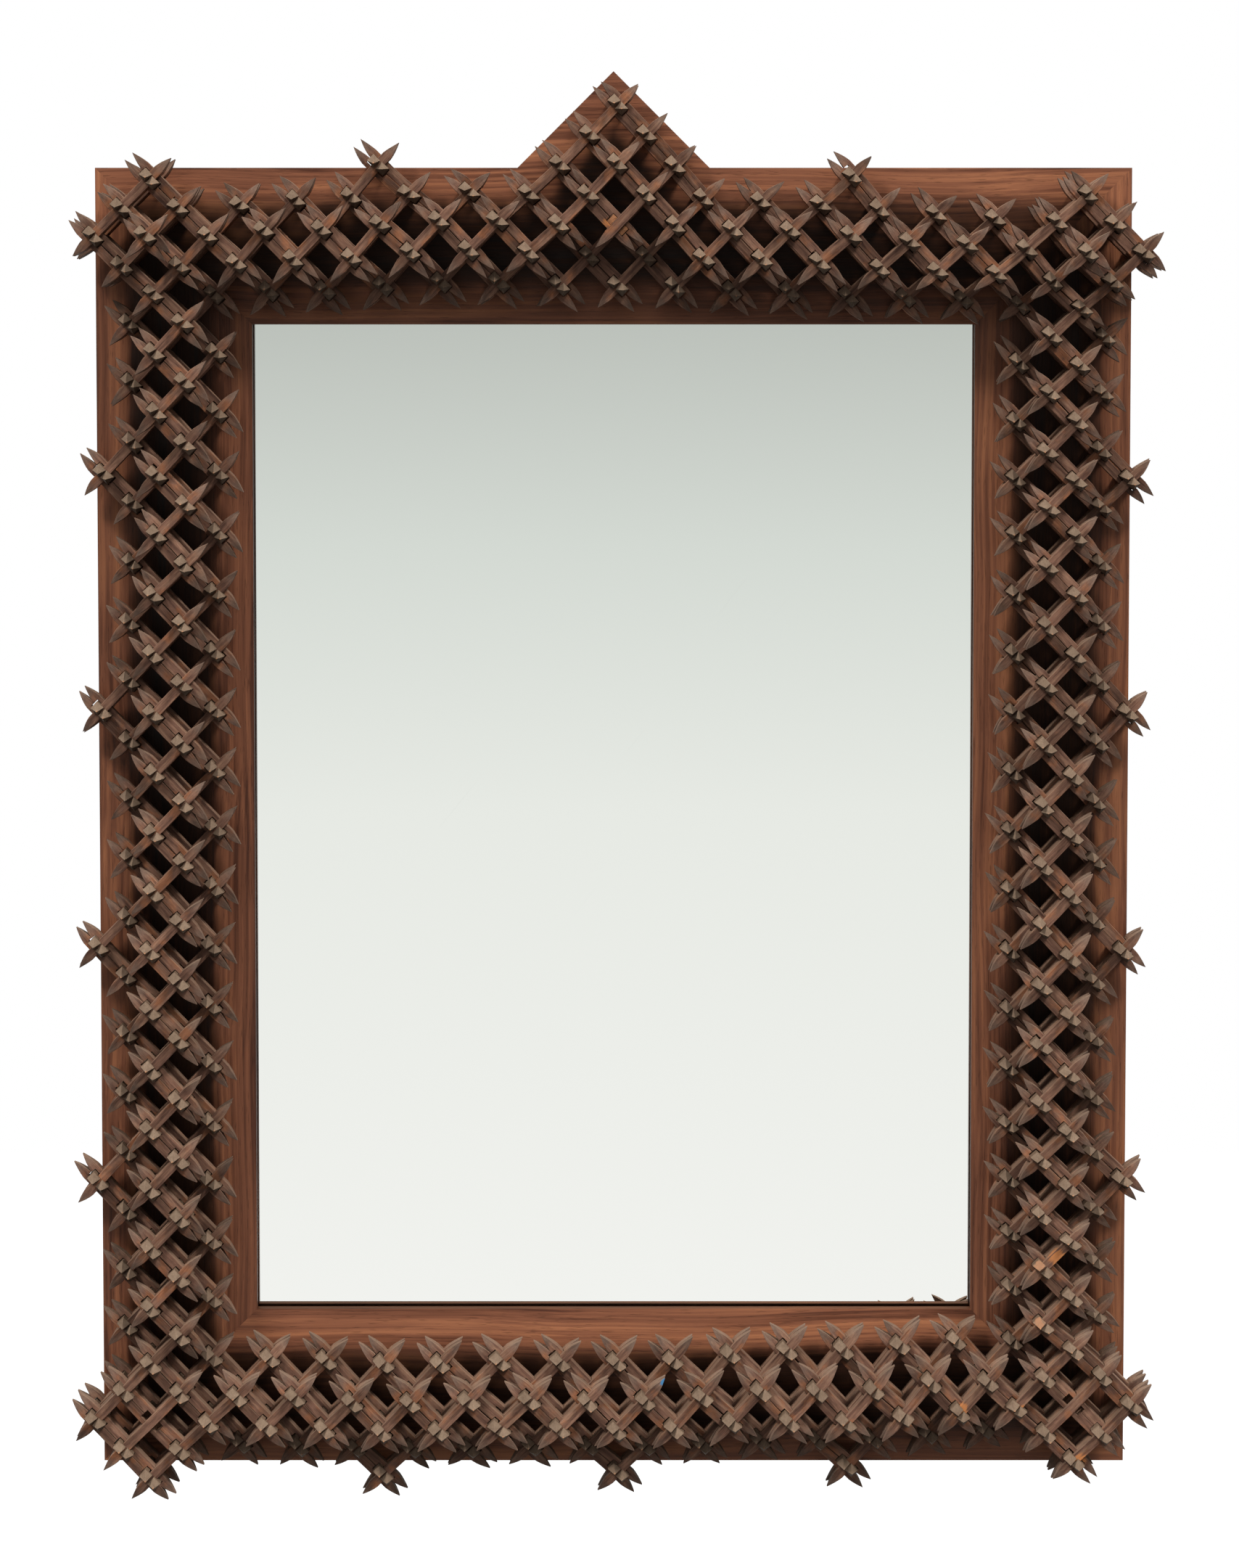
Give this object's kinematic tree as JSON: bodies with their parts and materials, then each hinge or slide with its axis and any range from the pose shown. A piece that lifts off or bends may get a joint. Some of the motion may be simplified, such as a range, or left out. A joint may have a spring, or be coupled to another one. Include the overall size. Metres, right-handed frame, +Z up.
{
  "type": "tramp art mirror frame",
  "caption": "Wall mirror in a mitred board frame with a pointed crest, overlaid with a layered lattice of notched, pointed wooden sticks and pegs.",
  "frame": {"origin": "on the wall plane, at the middle of the back planks, level with the middle of the board frame", "axes": "+Z up, +Y into the wall so that the mirror faces -Y, +X to the right of someone who looks into the mirror"},
  "size_m": [0.7012, 0.0824, 0.9361],
  "materials": {
    "board_walnut": "satin shellac over walnut, worn",
    "stick_wood": "dark stain with a grey patina",
    "post_wood": "dark stain, dry and dusty points",
    "fresh_wood": "bare broken wood",
    "mirror": "silvered glass",
    "plank_wood": "unfinished, aged",
    "nail_steel": "dark, slightly rusted",
    "hanger_steel": "dull steel"
  },
  "bodies": {
    "root": {"left_stile": "board_walnut", "right_stile": "board_walnut", "top_rail": "board_walnut", "bottom_rail": "board_walnut", "mirror_glass": "mirror", "back_planks": "plank_wood", "plank_nails": "nail_steel", "hanger_straps": "hanger_steel", "hanger_screws": "hanger_steel", "left_lower_rising": "stick_wood", "left_lower_falling": "stick_wood", "left_upper_rising": "stick_wood", "left_upper_falling": "stick_wood", "left_short_posts": "post_wood", "left_tall_posts": "post_wood", "right_lower_rising": "stick_wood", "right_lower_falling": "stick_wood", "right_upper_rising": "stick_wood", "right_upper_falling": "stick_wood", "right_short_posts": "post_wood", "right_tall_posts": "post_wood", "top_lower_rising": "stick_wood", "top_lower_falling": "stick_wood", "top_upper_rising": "stick_wood", "top_upper_falling": "stick_wood", "top_short_posts": "post_wood", "top_tall_posts": "post_wood", "bottom_lower_rising": "stick_wood", "bottom_lower_falling": "stick_wood", "bottom_upper_rising": "stick_wood", "bottom_upper_falling": "stick_wood", "bottom_short_posts": "post_wood", "bottom_tall_posts": "post_wood", "star_rising": "stick_wood", "star_falling": "stick_wood", "star_posts": "post_wood", "snapped_posts": "fresh_wood"}
  },
  "joints": []
}
